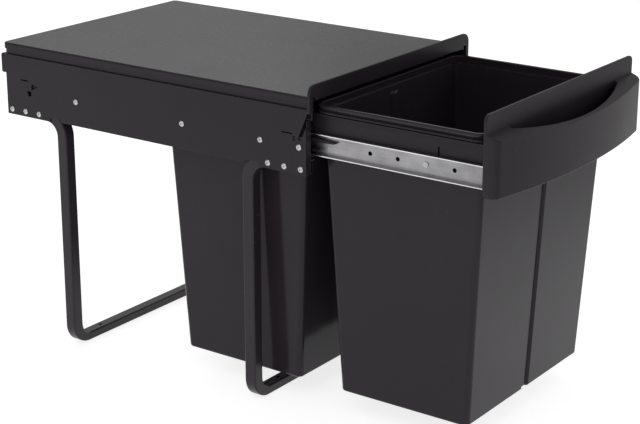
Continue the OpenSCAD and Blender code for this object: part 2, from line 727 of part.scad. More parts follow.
// Release lever in the drawer member: a long upper finger and a short lower one
lever_y = panel_front + lever_at;
lever_x = -rail_x - steel - 0.6 - lever_t;
module lever_outline() {
    f = lever_finger;
    h = lever_hook;
    t = lever_tail;
    up = lever_back;
    down = -lever_belly;
    polygon([
        // tail and back of the upper finger
        [t, down * 0.2], [t, up * 0.26], [t * 0.2, up * 0.66], [-h * 0.4, up], [-h * 0.88, up * 0.92],
        // tip of the upper finger, and the throat between the fingers
        [3 - f, up * 0.74], [-f, up * 0.6], [3 - f, up * 0.46], [-h, up * 0.34], [-h * 0.57, up * 0.18],
        [-h * 0.51, down * 0.14], [-h * 0.57, down * 0.5],
        // lower finger
        [-h * 0.88, down * 0.58], [-h, down * 0.69], [-h * 0.84, down * 0.92], [-h * 0.54, down],
        [-h * 0.24, down * 0.77], [t * 0.2, down * 0.48]
    ]);
}
module release_lever(side) color("#161617") on_side(side) difference() {
    along_x(lever_x, lever_t) translate([lever_y, slide_z]) lever_outline();
    pin_x(lever_x - over, lever_y, slide_z, lever_pin + 2 * fit, lever_t + 2 * over);
}
module lever_pins() color("#b8babd") both_sides() {
    pin_x(lever_x - 0.2, lever_y, slide_z, lever_pin, -rail_x - lever_x + 0.2);
    pin_x(lever_x - 1, lever_y, slide_z, lever_pin * 1.8, 0.8);
}
module rail_rivets() color("#b8babd") both_sides()
    for (d = rail_rivet_at) {
        y = inner_front + d;
        pin_x(-rail_x - steel - 1, y, slide_z, rail_rivet_d * 1.65, 1);
        pin_x(-rail_x - steel - 0.1, y, slide_z, rail_rivet_d, steel + sheet + 0.1);
        pin_x(-rail_x + sheet, y, slide_z, rail_rivet_d * 1.5, rail_rivet_d * 0.4);
    }

// Drawer rail: web beside the slide, top flange turned out under the bins' rims
module drawer_rail(side) color("#2e2d30") on_side(side) difference() {
    union() {
        box([-rail_x, rail_front, rail_z], [-rail_x + sheet, rail_rear, rail_top]);
        box([-rail_x - rail_flange, rail_front, rail_top - sheet], [-rail_x + sheet, rail_rear, rail_top]);
        box([-rail_x - rail_ear, rail_front, rail_z], [-rail_x + sheet, rail_front + sheet, rail_top]);
    }
    for (d = rail_rivet_at)
        pin_x(-rail_x - over, inner_front + d, slide_z, rail_rivet_d + 2 * fit, sheet + 2 * over);
    for (z = handle_screw_z) pin_y(-handle_screw_x, rail_front - over, z, screw_d + 2 * fit, sheet + 2 * over);
    // lanced slot above the slide
    lance_y = plate_back + lance_at;
    lance_top = rail_top - lance_down;
    box([-rail_x - over, lance_y, lance_top - lance_h], [-rail_x + sheet + over, lance_y + lance_w, lance_top]);
}

// Cross bars between the rails
bar_x = rail_x - sheet;
module drawer_front_bar() color("#2e2d30") {
    box([-bar_x, rail_front, rail_top - bar_h], [bar_x, rail_front + sheet, rail_top]);
    box([-bar_x, rail_front, rail_top - sheet], [bar_x, bin_front_y - bin_top_l / 2 - bar_clear, rail_top]);
}
module drawer_middle_bar() color("#2e2d30") {
    mid = (bin_front_y + bin_rear_y) / 2;
    box([-bar_x, mid - mid_bar_w / 2, rail_top - sheet], [bar_x, mid + mid_bar_w / 2, rail_top]);
    for (s = [-1, 1]) translate([0, mid + s * (mid_bar_w - sheet) / 2, 0])
        box([-bar_x, -sheet / 2, rail_top - bar_h / 2], [bar_x, sheet / 2, rail_top - sheet]);
}
module drawer_rear_bar() color("#2e2d30") {
    box([-bar_x, rail_rear - sheet, rail_top - bar_h], [bar_x, rail_rear, rail_top]);
    box([-bar_x, bin_rear_y + bin_top_l / 2 + bar_clear, rail_top - sheet], [bar_x, rail_rear, rail_top]);
}

// Handle front: an upright plate and a bowed grip with a finger pocket, in one moulding
// Radius of an arc from its half chord and its rise
function arc_r(half, rise) = (half * half + rise * rise) / (2 * rise);
plate_face = plate_back - plate_t;
bow_r = arc_r(arch_w / 2, bow_mid - bow_end);
pocket_r = arc_r(pocket_half, pocket_d - pocket_end_d);
// Plan of the bow: one large arc that runs into a round corner on each side
module bow_plan() {
    half = arch_w / 2;
    arc_y = plate_face - bow_mid + bow_r;
    corner_x = half - bow_corner;
    corner_y = arc_y - sqrt(pow(bow_r - bow_corner, 2) - corner_x * corner_x);
    meet_x = corner_x * bow_r / (bow_r - bow_corner);
    intersection() {
        union() {
            intersection() {
                translate([0, arc_y]) circle(bow_r, $fn = 240);
                translate([-meet_x, plate_face - bow_mid - over]) square([2 * meet_x, 2 * bow_mid]);
            }
            for (s = [-1, 1]) translate([s * corner_x, corner_y]) circle(bow_corner);
            translate([-half, corner_y]) square([arch_w, bow_mid]);
        }
        translate([-arch_w, plate_face - 2 * bow_mid]) square([2 * arch_w, 2 * bow_mid + plate_t / 2]);
    }
}
module handle_front() color("#3b3a3d") difference() {
    union() {
        along_y(plate_face, plate_t) translate([0, plate_top - plate_h / 2])
            round_rect(arch_w, plate_h, plate_corner);
        bow();
    }
    // finger pocket
    along_z(plate_bottom + pocket_floor, plate_h) intersection() {
        translate([0, plate_face - pocket_d + pocket_r]) circle(pocket_r, $fn = 160);
        translate([-pocket_half, plate_face - pocket_d - over]) square([2 * pocket_half, pocket_d + over]);
    }
    for (s = [-1, 1], z = handle_screw_z)
        pin_y(s * handle_screw_x, plate_face - screw_bite - 0.5, z, screw_d + 2 * fit, screw_bite + plate_t + over);
}
module bow() difference() {
    along_z(plate_bottom, plate_h) bow_plan();
    // sloping top
    translate([0, plate_face, plate_top - bow_drop]) rotate([atan(bow_slope), 0, 0])
        translate([-arch_w, -plate_h, 0]) cube([2 * arch_w, 2 * plate_h, plate_h]);
}
module handle_screws() color("#6b6c6f")
    for (s = [-1, 1], z = handle_screw_z) {
        pin_y(s * handle_screw_x, plate_face - screw_bite, z, screw_d, screw_bite + plate_t + sheet + 0.1);
        difference() {
            pin_y(s * handle_screw_x, plate_back + sheet, z, screw_d * 1.9, screw_d * 0.55);
            pin_y(s * handle_screw_x, plate_back + sheet + screw_d / 4, z, screw_d * 0.6, screw_d, $fn = 6);
        }
    }

// Bin: tapered tub with a stepped rim and a groove down the middle of each end wall
function at_height(low, high, z) = low + (high - low) * (z - bin_z) / (rail_top - bin_z);
module tub(inset, z0, z1, r) hull() {
    for (sx = [-1, 1], sy = [-1, 1], z = [z0, z1]) {
        w = at_height(bin_floor_w, bin_top_w, z) / 2 - inset;
        l = at_height(bin_floor_l, bin_top_l, z) / 2 - inset;
        // the lowest ring is drawn in, for the rounded edge of the floor
        if (z == z0) {
            translate([sx * (w - r), sy * (l - r), z]) cylinder(r = r - bin_edge, h = 0.01, $fn = 32);
            translate([sx * (w - r), sy * (l - r), z + bin_edge]) cylinder(r = r, h = 0.01, $fn = 32);
        } else translate([sx * (w - r), sy * (l - r), z]) cylinder(r = r, h = 0.01, $fn = 32);
    }
}
// Upright strip that follows an end wall's slope, from below the floor up
module end_strip(width, depth, top) for (s = [-1, 1]) hull() {
    for (z = [bin_z - over, top])
        translate([-width / 2, s * at_height(bin_floor_l, bin_top_l, z) / 2 - depth, z])
            cube([width, 2 * depth, 0.01]);
}
module bin(y) color("#353437") translate([0, y, 0]) difference() {
    union() {
        tub(0, bin_z, rail_top + 0.5, bin_corner);
        along_z(rail_top + rim_line, rim_h - rim_line) round_rect(rim_w, rim_l, rim_corner);
        along_z(rail_top, rim_h / 2)
            round_rect(rim_w - 2 * rim_line_d, rim_l - 2 * rim_line_d, rim_corner - rim_line_d);
    }
    // inside, less the backs of the grooves
    difference() {
        union() {
            tub(bin_wall, bin_z + bin_wall, rail_top + rim_h + over, bin_corner - 1);
            along_z(rail_top + bin_wall, rim_h)
                round_rect(rim_w - 2 * rim_t, rim_l - 2 * rim_t, rim_corner - bin_wall);
        }
        end_strip(rib_w + 2 * bin_wall, rib_d + bin_wall, rail_top);
    }
    end_strip(rib_w, rib_d, rail_top - rib_stop);
}

side_panel("left");  // side_panel_left
side_panel("right");  // side_panel_right
rear_crossmember();
crossmember_rivets();
front_arch();
lid();
leg_frame_front();
leg_frame_rear();
leg_rivets();
slide_rivets();
slide_spacer("left");  // slide_spacer_left
slide_spacer("right");  // slide_spacer_right
slide_outer("left");  // slide_outer_left
slide_outer("right");  // slide_outer_right
slide_bumpers();
slide_middle("left");  // slide_middle_left
slide_middle("right");  // slide_middle_right
outer_cage("left");  // outer_cage_left
outer_cage("right");  // outer_cage_right
outer_balls();
inner_cage("left");  // inner_cage_left
inner_cage("right");  // inner_cage_right
inner_balls();
slide_inner("left");  // slide_inner_left
slide_inner("right");  // slide_inner_right
rail_rivets();
release_lever("left");  // release_lever_left
release_lever("right");  // release_lever_right
lever_pins();
drawer_rail("left");  // drawer_rail_left
drawer_rail("right");  // drawer_rail_right
drawer_front_bar();
drawer_middle_bar();
drawer_rear_bar();
handle_front();
handle_screws();
bin(bin_front_y);  // front_bin
bin(bin_rear_y);  // rear_bin
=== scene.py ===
# Pull out bin frame: finishes, moulded and pressed pieces, light and camera.
# Lengths are in metres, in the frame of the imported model: X is the width, the handle is at -Y,
# and Z is up from the cabinet floor. The modelling further down works in millimetres.
import math

import bpy
from mathutils import Matrix, Vector


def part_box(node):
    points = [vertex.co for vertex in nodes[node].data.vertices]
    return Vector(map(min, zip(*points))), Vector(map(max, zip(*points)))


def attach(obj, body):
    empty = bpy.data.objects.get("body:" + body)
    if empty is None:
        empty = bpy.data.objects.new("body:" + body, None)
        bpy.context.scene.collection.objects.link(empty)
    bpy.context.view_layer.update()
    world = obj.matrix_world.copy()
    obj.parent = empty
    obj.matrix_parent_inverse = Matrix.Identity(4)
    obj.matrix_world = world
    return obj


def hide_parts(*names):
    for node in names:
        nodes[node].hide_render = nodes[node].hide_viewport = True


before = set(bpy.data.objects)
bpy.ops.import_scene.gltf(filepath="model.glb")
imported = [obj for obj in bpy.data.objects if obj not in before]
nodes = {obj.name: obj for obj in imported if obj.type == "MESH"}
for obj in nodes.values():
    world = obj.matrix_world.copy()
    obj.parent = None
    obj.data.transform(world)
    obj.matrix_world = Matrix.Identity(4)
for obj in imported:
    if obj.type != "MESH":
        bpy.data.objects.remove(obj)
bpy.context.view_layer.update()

# Camera, at the place and angle of the photograph; its angles are in degrees
IMAGE_W = 640
IMAGE_H = 424
SENSOR = 36.0
FOCAL_PIXELS = 1691.15
CENTRE_X = 356.96
CENTRE_Y = 184.84
CAMERA_AT = Vector((-1.6854, -1.3504, 0.8894))
CAMERA_YAW = -55.515
CAMERA_PITCH = 17.494
CAMERA_ROLL = 0.367


def add_camera():
    data = bpy.data.cameras.new("photo_camera")
    data.sensor_width = SENSOR
    data.lens = FOCAL_PIXELS / IMAGE_W * SENSOR
    data.shift_x = (IMAGE_W / 2 - CENTRE_X) / IMAGE_W
    data.shift_y = (CENTRE_Y - IMAGE_H / 2) / IMAGE_W
    camera = bpy.data.objects.new("photo_camera", data)
    bpy.context.scene.collection.objects.link(camera)
    turn = Matrix.Rotation(math.radians(CAMERA_YAW), 4, "Z")
    tilt = Matrix.Rotation(math.radians(90 - CAMERA_PITCH), 4, "X")
    roll = Matrix.Rotation(math.radians(CAMERA_ROLL), 4, "Z")
    camera.matrix_world = Matrix.Translation(CAMERA_AT) @ turn @ tilt @ roll
    bpy.context.scene.camera = camera


# Small helpers for building node trees
def add_node(tree, kind, at, **settings):
    node = tree.nodes.new(kind)
    node.location = at
    for name, value in settings.items():
        setattr(node, name, value)
    return node


def set_inputs(node, **values):
    for name, value in values.items():
        node.inputs[name.replace("_", " ")].default_value = value


def new_group(name, numbers, colours, outputs):
    """A shader node group with its input and output nodes; outputs are (name, kind) pairs."""
    tree = bpy.data.node_groups.new(name, "ShaderNodeTree")
    for label, value in numbers.items():
        socket = tree.interface.new_socket(name=label, in_out="INPUT", socket_type="NodeSocketFloat")
        socket.default_value = value
    for label, value in colours.items():
        socket = tree.interface.new_socket(name=label, in_out="INPUT", socket_type="NodeSocketColor")
        socket.default_value = (*value, 1)
    for label, kind in outputs:
        tree.interface.new_socket(name=label, in_out="OUTPUT", socket_type=kind)
    entry = add_node(tree, "NodeGroupInput", (-900, 0))
    leave = add_node(tree, "NodeGroupOutput", (700, 0))
    return tree, entry, leave


def object_noise(tree, at, scale, detail, roughness=0.5, stretch=None):
    """Noise on Object coordinates; scale is a number or a socket, and stretch scales each axis."""
    place = add_node(tree, "ShaderNodeTexCoord", (at[0] - 400, at[1]))
    noise = add_node(tree, "ShaderNodeTexNoise", at)
    set_inputs(noise, Detail=detail, Roughness=roughness)
    if isinstance(scale, bpy.types.NodeSocket):
        tree.links.new(scale, noise.inputs["Scale"])
    else:
        set_inputs(noise, Scale=scale)
    source = place.outputs["Object"]
    if stretch:
        mapping = add_node(tree, "ShaderNodeMapping", (at[0] - 200, at[1]))
        mapping.inputs["Scale"].default_value = stretch
        tree.links.new(source, mapping.inputs["Vector"])
        source = mapping.outputs["Vector"]
    tree.links.new(source, noise.inputs["Vector"])
    return noise.outputs["Fac"]


def mask_between(tree, at, value, band):
    """0 below a band of values, 1 above it and a ramp within it."""
    ramp = add_node(tree, "ShaderNodeMapRange", at)
    set_inputs(ramp, From_Min=band[0], From_Max=band[1])
    tree.links.new(value, ramp.inputs["Value"])
    return ramp.outputs["Result"]


def multiply(tree, at, first, second):
    product = add_node(tree, "ShaderNodeMath", at, operation="MULTIPLY")
    tree.links.new(first, product.inputs[0])
    tree.links.new(second, product.inputs[1])
    return product.outputs["Value"]


# Most of a noise's values lie in this band, which is spread between a low and a high gloss
NOISE_BAND = (0.3, 0.7)


def uneven_gloss(tree, at, value, entry, leave):
    spread = add_node(tree, "ShaderNodeMapRange", at)
    set_inputs(spread, From_Min=NOISE_BAND[0], From_Max=NOISE_BAND[1])
    tree.links.new(value, spread.inputs["Value"])
    tree.links.new(entry.outputs["Gloss Low"], spread.inputs["To Min"])
    tree.links.new(entry.outputs["Gloss High"], spread.inputs["To Max"])
    tree.links.new(spread.outputs["Result"], leave.inputs["Roughness"])


# Fine grain of a moulding or of a powder coat: a height for the bump and an uneven gloss
PATCH_SCALE = 7


def grain_group():
    numbers = {"Grain Scale": 1800.0, "Gloss Low": 0.2, "Gloss High": 0.3}
    outputs = [("Roughness", "NodeSocketFloat"), ("Height", "NodeSocketFloat")]
    tree, entry, leave = new_group("fine_grain", numbers, {}, outputs)
    grain = object_noise(tree, (-400, 200), entry.outputs["Grain Scale"], 2)
    patches = object_noise(tree, (-400, -200), PATCH_SCALE, 4, 0.6)
    uneven_gloss(tree, (100, -200), patches, entry, leave)
    tree.links.new(grain, leave.inputs["Height"])
    return tree


# Slow drift between two tones over a surface
DRIFT_BAND = (0.32, 0.68)


def tone_group():
    numbers = {"Drift Scale": 5.0}
    colours = {"Deep": (0, 0, 0), "Pale": (1, 1, 1)}
    tree, entry, leave = new_group("tone_drift", numbers, colours, [("Color", "NodeSocketColor")])
    drift = object_noise(tree, (-400, 0), entry.outputs["Drift Scale"], 5, 0.6)
    mix = add_node(tree, "ShaderNodeMix", (200, 0), data_type="RGBA")
    tree.links.new(mask_between(tree, (-100, 0), drift, DRIFT_BAND), mix.inputs["Factor"])
    tree.links.new(entry.outputs["Deep"], mix.inputs["A"])
    tree.links.new(entry.outputs["Pale"], mix.inputs["B"])
    tree.links.new(mix.outputs["Result"], leave.inputs["Color"])
    return tree


# Handling: short fine scuffs in a few places, and specks of dust on what faces up
SCUFF_SCALE = 60
SCUFF_STRETCH = (1.0, 14.0, 5.0)
SCUFF_LINES = (0.66, 0.72)
PLACE_SCALE = 14
SCUFF_PLACES = (0.5, 0.62)
FACING_UP = (0.55, 1.0)
SPECK_SCALE = 240
DUST_SPECKS = (0.5, 0.8)


def wear_group():
    numbers = {"Scuff Amount": 0.2, "Dust Amount": 0.2}
    outputs = [("Scuffs", "NodeSocketFloat"), ("Dust", "NodeSocketFloat")]
    tree, entry, leave = new_group("handling_wear", numbers, {}, outputs)
    lines = object_noise(tree, (-400, 250), SCUFF_SCALE, 3, 0.55, SCUFF_STRETCH)
    places = object_noise(tree, (-400, 0), PLACE_SCALE, 2)
    thin = mask_between(tree, (-100, 250), lines, SCUFF_LINES)
    few = mask_between(tree, (-100, 0), places, SCUFF_PLACES)
    scuffs = multiply(tree, (350, 150), multiply(tree, (150, 150), thin, few), entry.outputs["Scuff Amount"])
    tree.links.new(scuffs, leave.inputs["Scuffs"])
    facing = add_node(tree, "ShaderNodeNewGeometry", (-700, -300))
    split = add_node(tree, "ShaderNodeSeparateXYZ", (-500, -300))
    tree.links.new(facing.outputs["Normal"], split.inputs["Vector"])
    up = mask_between(tree, (-300, -300), split.outputs["Z"], FACING_UP)
    specks = object_noise(tree, (-300, -550), SPECK_SCALE, 4, 0.7)
    sparse = mask_between(tree, (-100, -550), specks, DUST_SPECKS)
    dust = multiply(tree, (350, -400), multiply(tree, (100, -400), up, sparse), entry.outputs["Dust Amount"])
    tree.links.new(dust, leave.inputs["Dust"])
    return tree


# Drawn and plated steel: long thin lines along Y, and soft clouds of plating
LINE_STRETCH = (1.0, 0.012, 1.0)
CLOUD_SCALE = 26
CLOUD_STRETCH = (1.0, 0.35, 1.0)
CLOUD_BAND = (0.35, 0.65)


def brushed_group():
    numbers = {"Line Scale": 900.0, "Gloss Low": 0.2, "Gloss High": 0.4}
    outputs = [("Roughness", "NodeSocketFloat"), ("Height", "NodeSocketFloat"), ("Clouds", "NodeSocketFloat")]
    tree, entry, leave = new_group("drawn_steel", numbers, {}, outputs)
    lines = object_noise(tree, (-400, 200), entry.outputs["Line Scale"], 2, 0.5, LINE_STRETCH)
    uneven_gloss(tree, (100, 100), lines, entry, leave)
    tree.links.new(lines, leave.inputs["Height"])
    clouds = object_noise(tree, (-400, -150), CLOUD_SCALE, 4, 0.6, CLOUD_STRETCH)
    tree.links.new(mask_between(tree, (100, -150), clouds, CLOUD_BAND), leave.inputs["Clouds"])
    return tree


def place_group(tree, group, at, **values):
    node = add_node(tree, "ShaderNodeGroup", at)
    node.node_tree = group
    for name, value in values.items():
        socket = node.inputs[name.replace("_", " ")]
        socket.default_value = (*value, 1) if isinstance(value, tuple) else value
    return node


def blend_colour(tree, at, mask, first, second_colour):
    """first where mask is 0, second_colour where it is 1."""
    mix = add_node(tree, "ShaderNodeMix", at, data_type="RGBA")
    mix.inputs["B"].default_value = (*second_colour, 1)
    tree.links.new(mask, mix.inputs["Factor"])
    tree.links.new(first, mix.inputs["A"])
    return mix.outputs["Result"]


def add_bump(tree, at, height, strength, distance):
    bump = add_node(tree, "ShaderNodeBump", at)
    set_inputs(bump, Strength=strength, Distance=distance)
    tree.links.new(height, bump.inputs["Height"])
    return bump.outputs["Normal"]


def new_material(name):
    material = bpy.data.materials.new(name)
    material.use_nodes = True
    tree = material.node_tree
    shader = tree.nodes["Principled BSDF"]
    return material, tree, shader


# Black mouldings and powder coats: drifting tone, fine grain, scuffs and settled dust
BLACK_DRIFT = 6.0
BLACK_SCUFF = (0.12, 0.12, 0.125)
DUST_TONE = (0.3, 0.3, 0.3)
SCUFF_DULLING = 0.5
GRAIN_HEIGHT = 0.0002


def black_finish(name, deep, pale, gloss, grain, scuffs, dust, specular=0.17):
    """gloss is a pair of roughnesses, and grain is a noise scale with the strength of its bump."""
    material, tree, shader = new_material(name)
    shader.inputs["Specular IOR Level"].default_value = specular
    tone = place_group(tree, TONE, (-900, 300), Drift_Scale=BLACK_DRIFT, Deep=deep, Pale=pale)
    surface = place_group(tree, GRAIN, (-900, -200), Grain_Scale=grain[0], Gloss_Low=gloss[0],
                          Gloss_High=gloss[1])
    wear = place_group(tree, WEAR, (-900, 0), Scuff_Amount=scuffs, Dust_Amount=dust)
    colour = blend_colour(tree, (-500, 300), wear.outputs["Dust"], tone.outputs["Color"], DUST_TONE)
    colour = blend_colour(tree, (-300, 300), wear.outputs["Scuffs"], colour, BLACK_SCUFF)
    tree.links.new(colour, shader.inputs["Base Color"])
    dull = add_node(tree, "ShaderNodeMath", (-500, 0), operation="MULTIPLY_ADD")
    dull.inputs[1].default_value = SCUFF_DULLING
    tree.links.new(wear.outputs["Scuffs"], dull.inputs[0])
    tree.links.new(surface.outputs["Roughness"], dull.inputs[2])
    tree.links.new(dull.outputs["Value"], shader.inputs["Roughness"])
    normal = add_bump(tree, (-300, -200), surface.outputs["Height"], grain[1], GRAIN_HEIGHT)
    tree.links.new(normal, shader.inputs["Normal"])
    return material


# Plated or drawn steel with lines along its length
STEEL_DRIFT = 18.0
STEEL_SCUFF = (0.3, 0.3, 0.31)
STEEL_SCUFFS = 0.3
STEEL_DUST = 0.05
CLOUD_STRENGTH = 0.3
LINE_HEIGHT = 0.0001


def steel_finish(name, deep, pale, gloss, lines):
    """gloss is a pair of roughnesses, and lines is a noise scale with the strength of its bump."""
    material, tree, shader = new_material(name)
    shader.inputs["Metallic"].default_value = 1.0
    tone = place_group(tree, TONE, (-900, 300), Drift_Scale=STEEL_DRIFT, Deep=deep, Pale=pale)
    surface = place_group(tree, BRUSHED, (-900, -100), Line_Scale=lines[0], Gloss_Low=gloss[0],
                          Gloss_High=gloss[1])
    wear = place_group(tree, WEAR, (-900, 100), Scuff_Amount=STEEL_SCUFFS, Dust_Amount=STEEL_DUST)
    fade = add_node(tree, "ShaderNodeMath", (-650, 100), operation="MULTIPLY")
    fade.inputs[1].default_value = CLOUD_STRENGTH
    tree.links.new(surface.outputs["Clouds"], fade.inputs[0])
    colour = blend_colour(tree, (-450, 300), fade.outputs["Value"], tone.outputs["Color"], deep)
    colour = blend_colour(tree, (-250, 300), wear.outputs["Scuffs"], colour, STEEL_SCUFF)
    tree.links.new(colour, shader.inputs["Base Color"])
    tree.links.new(surface.outputs["Roughness"], shader.inputs["Roughness"])
    normal = add_bump(tree, (-300, -200), surface.outputs["Height"], lines[1], LINE_HEIGHT)
    tree.links.new(normal, shader.inputs["Normal"])
    return material


# Stage: pale floor, white surroundings and soft boxes
FLOOR_SIZE = 16
FLOOR_GAP = 0.0005
FLOOR_GREY = 0.5
FLOOR_ROUGHNESS = 0.9
FLOOR_SPECULAR = 0.1
FLOOR_GLOW = 0.8
FLOOR_GLOW_LOW = 0.32
# the glow falls from its full to its low value along this direction, over this width
GLOW_EDGE = math.radians(67)
GLOW_WIDTH = 0.65
WORLD_LEVEL = 0.5
# each with its place, the point it faces, its width and height, and its power in watts
SOFT_BOXES = [
    ("key_box", (-2.2, -0.6, 2.4), (0, 0, 0.2), 1.6, 1.6, 12),
    ("back_box", (1.5, 2.2, 2.2), (0, 0, 0.4), 2.4, 1.6, 13),
    ("side_box", (1.3, -1.9, 1.0), (0.9, -1.3, 0.0), 1.2, 1.2, 5),
]


def studio_white():
    material, tree, shader = new_material("studio_white")
    shader.inputs["Base Color"].default_value = (FLOOR_GREY, FLOOR_GREY, FLOOR_GREY, 1)
    shader.inputs["Roughness"].default_value = FLOOR_ROUGHNESS
    shader.inputs["Specular IOR Level"].default_value = FLOOR_SPECULAR
    shader.inputs["Emission Color"].default_value = (1, 1, 1, 1)
    # the glow falls off softly to the right of the view, where it would only light the front faces
    place = add_node(tree, "ShaderNodeTexCoord", (-900, -200))
    across = add_node(tree, "ShaderNodeVectorMath", (-700, -200), operation="DOT_PRODUCT")
    across.inputs[1].default_value = (math.cos(GLOW_EDGE), -math.sin(GLOW_EDGE), 0)
    start = CAMERA_AT.x * math.cos(GLOW_EDGE) - CAMERA_AT.y * math.sin(GLOW_EDGE)
    falloff = add_node(tree, "ShaderNodeMapRange", (-400, -200), interpolation_type="SMOOTHSTEP")
    set_inputs(falloff, From_Min=start, From_Max=start + GLOW_WIDTH, To_Min=FLOOR_GLOW, To_Max=FLOOR_GLOW_LOW)
    tree.links.new(place.outputs["Object"], across.inputs[0])
    tree.links.new(across.outputs["Value"], falloff.inputs["Value"])
    tree.links.new(falloff.outputs["Result"], shader.inputs["Emission Strength"])
    return material


def add_floor():
    bpy.ops.mesh.primitive_plane_add(size=FLOOR_SIZE, location=(0, 0, -FLOOR_GAP))
    floor = bpy.context.active_object
    floor.name = "studio_floor"
    floor.data.materials.clear()
    floor.data.materials.append(studio_white())


def add_world():
    world = bpy.data.worlds.new("studio")
    world.use_nodes = True
    background = world.node_tree.nodes["Background"]
    background.inputs["Color"].default_value = (1, 1, 1, 1)
    background.inputs["Strength"].default_value = WORLD_LEVEL
    bpy.context.scene.world = world
    bpy.context.scene.view_settings.view_transform = "Standard"


def add_soft_box(name, at, target, width, height, power):
    data = bpy.data.lights.new(name, "AREA")
    data.shape = "RECTANGLE"
    data.size = width
    data.size_y = height
    data.energy = power
    light = bpy.data.objects.new(name, data)
    bpy.context.scene.collection.objects.link(light)
    light.location = at
    light.rotation_mode = "QUATERNION"
    light.rotation_quaternion = (Vector(target) - Vector(at)).to_track_quat("-Z", "Y")


def dress(names, material):
    for name in names:
        mesh = nodes[name].data
        mesh.materials.clear()
        mesh.materials.append(material)


def both(name):
    return [name + "_left", name + "_right"]


add_camera()
add_world()
add_floor()
for soft_box in SOFT_BOXES:
    add_soft_box(*soft_box)

GRAIN = grain_group()
TONE = tone_group()
WEAR = wear_group()
BRUSHED = brushed_group()

BLACK = (0.0195, 0.0155, 0.0195)
CHARCOAL = (0.0235, 0.019, 0.0235)
# the two tones of the painted shade on the arms behind the panels
SHADE_BLACK = (0.004, 0.0035, 0.004)
PALE_SHADE_BLACK = (0.006, 0.005, 0.006)
RUBBER_GREY = (0.02, 0.02, 0.02)
coat = black_finish("black_powder_coat", BLACK, CHARCOAL, gloss=(0.26, 0.34), grain=(2600, 0.25),
                    scuffs=0.2, dust=0.03)
tube_coat = black_finish("black_tube_coat", BLACK, CHARCOAL, gloss=(0.24, 0.32), grain=(2600, 0.2),
                         scuffs=0.25, dust=0.02, specular=0.25)
bin_plastic = black_finish("black_bin_plastic", BLACK, CHARCOAL, gloss=(0.11, 0.17), grain=(1500, 0.06),
                           scuffs=0.25, dust=0.03)
lid_plastic = black_finish("black_lid_plastic", BLACK, CHARCOAL, gloss=(0.24, 0.3), grain=(1900, 0.2),
                           scuffs=0.2, dust=0.05)
grip_plastic = black_finish("black_grip_plastic", BLACK, CHARCOAL, gloss=(0.3, 0.4), grain=(1900, 0.25),
                            scuffs=0.3, dust=0.03)
# painted shade for the arms behind the panels: near black and almost without gloss
arm_shade_plastic = black_finish("painted_shade_arm_plastic", SHADE_BLACK, PALE_SHADE_BLACK, gloss=(0.5, 0.6), grain=(2400, 0.2),
                           scuffs=0.0, dust=0.0, specular=0.03)
lever_plastic = black_finish("black_lever_plastic", BLACK, BLACK, gloss=(0.3, 0.4), grain=(2400, 0.2),
                             scuffs=0.1, dust=0.0)
rubber = black_finish("black_rubber", CHARCOAL, RUBBER_GREY, gloss=(0.6, 0.75), grain=(2400, 0.4),
                      scuffs=0.1, dust=0.05)
# brighter steel for the flanges of the drawer members: a painted highlight along the lips
lip_highlight_steel = steel_finish("painted_highlight_raceway", (0.7, 0.69, 0.7), (0.88, 0.87, 0.88), (0.2, 0.3), (1100, 0.05))
zinc = steel_finish("bright_zinc", (0.24, 0.235, 0.245), (0.42, 0.41, 0.42), (0.24, 0.42), (1100, 0.15))
rivet_metal = steel_finish("rivet_aluminium", (0.5, 0.5, 0.51), (0.68, 0.68, 0.69), (0.3, 0.45), (600, 0.1))
pin_zinc = steel_finish("pin_zinc", (0.38, 0.38, 0.39), (0.52, 0.52, 0.53), (0.3, 0.42), (700, 0.1))
# near black: painted shade in the pits of the rivet heads
pit_shade_steel = steel_finish("pit_shade_steel", (0.02, 0.02, 0.021), (0.04, 0.04, 0.041), (0.4, 0.55),
                             (700, 0.1))
cage_steel = steel_finish("cage_steel", (0.3, 0.31, 0.32), (0.45, 0.46, 0.47), (0.3, 0.45), (900, 0.15))
ball_steel = steel_finish("ball_steel", (0.7, 0.71, 0.72), (0.8, 0.81, 0.82), (0.06, 0.12), (400, 0.02))
screw_zinc = steel_finish("dark_screw_zinc", (0.18, 0.18, 0.19), (0.28, 0.28, 0.29), (0.3, 0.45), (700, 0.15))

dress(both("side_panel") + ["rear_crossmember"] + both("slide_spacer"), coat)
dress(both("drawer_rail") + ["drawer_front_bar", "drawer_middle_bar", "drawer_rear_bar"], coat)
dress(["leg_frame_front", "leg_frame_rear"], tube_coat)
dress(["front_bin", "rear_bin"], bin_plastic)
dress(["handle_front", "front_arch"], grip_plastic)
dress(["lid"], lid_plastic)
dress(both("slide_outer") + both("slide_middle") + both("slide_inner"), zinc)
dress(["leg_rivets", "slide_rivets", "crossmember_rivets"], rivet_metal)
dress(["rail_rivets", "lever_pins"], pin_zinc)
dress(both("outer_cage") + both("inner_cage"), cage_steel)
dress(["outer_balls", "inner_balls"], ball_steel)
dress(["slide_bumpers"], rubber)
dress(both("release_lever"), lever_plastic)
dress(["handle_screws"], screw_zinc)

# Modelling by hand: a primitive is placed, then shaped in edit mode. Sizes here are in millimetres.
MM = 0.001
# how close a point has to lie to a plane to count as on it
NEAR = 0.05
# how far a face's normal goes along an axis: squarely, level to within a few degrees, or edge on
SQUARE = 0.9
LEVEL = 0.99
EDGE_ON = 0.1
# how close the middle of a cap lies to the middle of its piece
CENTRAL = 1
# angles between faces that lie flat together
FLAT = math.radians(0.3)
# points of a frame's mesh that are closer than this are one point
MERGE = 0.005
SMOOTH_ANGLE = math.radians(35)


def clear_selection():
    if bpy.context.object and bpy.context.object.mode != "OBJECT":
        bpy.ops.object.mode_set(mode="OBJECT")
    bpy.ops.object.select_all(action="DESELECT")


def select_only(piece):
    clear_selection()
    piece.select_set(True)
    bpy.context.view_layer.objects.active = piece


